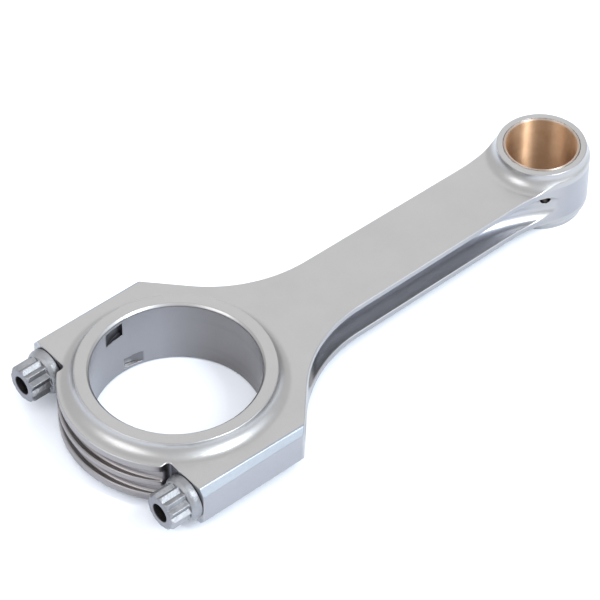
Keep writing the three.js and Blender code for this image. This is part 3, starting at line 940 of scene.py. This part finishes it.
STEP = 0.3
FINE = 0.15
KEEP = 0.3
END_X = CENTRE_DISTANCE + BOSS_R
PAST_PARTING = 1.5

rod = piece(
    "rod_body_finished",
    rod_body,
    (-PAST_PARTING, -SHOULDER_Y, -HALF_WIDTH),
    (END_X, SHOULDER_Y, HALF_WIDTH),
    STEP,
    KEEP,
    side=1,
)
finish(rod, STEEL, "rod", "forged_steel", "rod_body")

cap = piece(
    "rod_cap_finished",
    rod_cap,
    (-CAP_R, -SHOULDER_Y, -HALF_WIDTH),
    (PAST_PARTING, SHOULDER_Y, HALF_WIDTH),
    STEP,
    KEEP,
    side=-1,
)
finish(cap, STEEL, "cap", "forged_steel", "rod_cap")

bush_piece = piece(
    "small_end_bush_finished",
    bush,
    (CENTRE_DISTANCE - BUSH_OUTER_R, -BUSH_OUTER_R, -HALF_WIDTH),
    (CENTRE_DISTANCE + BUSH_OUTER_R, BUSH_OUTER_R, HALF_WIDTH),
    2 * FINE,
    KEEP,
)
finish(bush_piece, BRONZE, "rod", "bush_bronze", "small_end_bush")

left_bolt = piece(
    "cap_bolt_left_finished",
    cap_bolt,
    (BOLT_HEAD_END_X, -BOLT_FLANGE_R, -BOLT_FLANGE_R),
    (BOLT_TIP_X, BOLT_FLANGE_R, BOLT_FLANGE_R),
    FINE,
    KEEP,
    (0, BOLT_Y, 0),
)
right_bolt = copy_of(left_bolt, "cap_bolt_right_finished", (0, -2 * BOLT_Y, 0))
finish(left_bolt, BOLT, "bolt_left", "bolt_steel", "cap_bolt_left")
finish(right_bolt, BOLT, "bolt_right", "bolt_steel", "cap_bolt_right")

left_sleeve = piece(
    "dowel_sleeve_left_finished",
    sleeve,
    (-SLEEVE_HALF, -SLEEVE_OUTER_R, -SLEEVE_OUTER_R),
    (SLEEVE_HALF, SLEEVE_OUTER_R, SLEEVE_OUTER_R),
    FINE,
    KEEP,
    (0, BOLT_Y, 0),
)
right_sleeve = copy_of(left_sleeve, "dowel_sleeve_right_finished", (0, -2 * BOLT_Y, 0))
finish(left_sleeve, SLEEVE, "rod", "sleeve_steel", "dowel_sleeve_left")
finish(right_sleeve, SLEEVE, "rod", "sleeve_steel", "dowel_sleeve_right")

# ---- camera, floor and light -------------------------------------------------------------------

CAMERA_AZIMUTH = math.radians(-40.677)
CAMERA_ELEVATION = math.radians(45.861)
CAMERA_ROLL = 0.00366
CAMERA_DISTANCE = 953.9
CAMERA_TARGET = (49.587, 5.607, 0)
CAMERA_LENS = 201.157
CAMERA_SENSOR = 36
CAMERA_CLIP = (0.05, 20)


def placed(point):
    """A point in millimetres about the big-end centre, where it lies in the scene, in metres."""
    return Vector(point) * MM + ORIGIN


def direction(azimuth, elevation):
    """The way from the object to a place round it, from angles in radians. Azimuth 0 is the -Y side
    and a quarter turn is the +X side."""
    level = math.cos(elevation)
    return Vector((math.sin(azimuth) * level, -math.cos(azimuth) * level, math.sin(elevation)))


camera_data = bpy.data.cameras.new("camera")
camera_data.sensor_width = CAMERA_SENSOR
camera_data.lens = CAMERA_LENS
camera_data.clip_start, camera_data.clip_end = CAMERA_CLIP
camera = bpy.data.objects.new("camera", camera_data)
bpy.context.scene.collection.objects.link(camera)
back = direction(CAMERA_AZIMUTH, CAMERA_ELEVATION)
turn = (-back).to_track_quat("-Z", "Y").to_matrix().to_4x4() @ Matrix.Rotation(CAMERA_ROLL, 4, "Z")
camera.matrix_world = Matrix.Translation(placed(CAMERA_TARGET) + back * CAMERA_DISTANCE * MM) @ turn
bpy.context.scene.camera = camera
bpy.context.scene.view_settings.view_transform = "Standard"

FLOOR_HALF = 3.0
FLOOR_COLOUR = (0.84, 0.87, 0.93)
WORLD_COLOUR = (0.985, 0.99, 1.0)
WORLD_STRENGTH = 1.08

floor_mesh = bpy.data.meshes.new("floor")
floor_corners = [(a * FLOOR_HALF, b * FLOOR_HALF, 0) for a, b in ((-1, -1), (1, -1), (1, 1), (-1, 1))]
floor_mesh.from_pydata(floor_corners, [], [(0, 1, 2, 3)])
floor = bpy.data.objects.new("floor", floor_mesh)
bpy.context.scene.collection.objects.link(floor)
floor_material, _, floor_shader, _ = new_material("pale_floor")
floor_shader.inputs["Base Color"].default_value = (*FLOOR_COLOUR, 1)
floor_shader.inputs["Roughness"].default_value = 0.9
floor_shader.inputs["Specular IOR Level"].default_value = 0.1
floor_mesh.materials.append(floor_material)

world = bpy.data.worlds.new("studio")
world.use_nodes = True
bpy.context.scene.world = world
background = next(n for n in world.node_tree.nodes if n.type == "BACKGROUND")
background.inputs["Color"].default_value = (*WORLD_COLOUR, 1)
background.inputs["Strength"].default_value = WORLD_STRENGTH


def softbox(name, at, distance, size, radiance, colour=(1, 1, 1)):
    """An area light that faces the object. at is its azimuth and elevation in degrees; the distance
    and the size are in metres."""
    light = bpy.data.lights.new(name, "AREA")
    light.shape = "RECTANGLE"
    light.size, light.size_y = size
    light.energy = radiance * math.pi * size[0] * size[1]
    light.color = colour
    obj = bpy.data.objects.new(name, light)
    bpy.context.scene.collection.objects.link(obj)
    out = direction(math.radians(at[0]), math.radians(at[1]))
    obj.matrix_world = Matrix.Translation(out * distance) @ out.to_track_quat("Z", "Y").to_matrix().to_4x4()
    return obj


softbox("right_softbox", (16, 34), distance=1.4, size=(1.7, 0.95), radiance=0.95, colour=(0.74, 0.87, 1.0))
softbox("left_softbox", (-95, 42), distance=1.4, size=(0.7, 0.8), radiance=2.4, colour=(0.97, 0.98, 1.0))
softbox("back_panel", (139, 46), distance=0.7, size=(0.55, 0.6), radiance=0.38)
softbox("strip_light", (13, 48), distance=1.3, size=(0.1, 0.7), radiance=48, colour=(0.9, 0.96, 1.0))
floor_fill = softbox("floor_fill", (-50, 60), distance=1.6, size=(0.9, 0.9), radiance=3.0)
floor_fill.visible_glossy = False
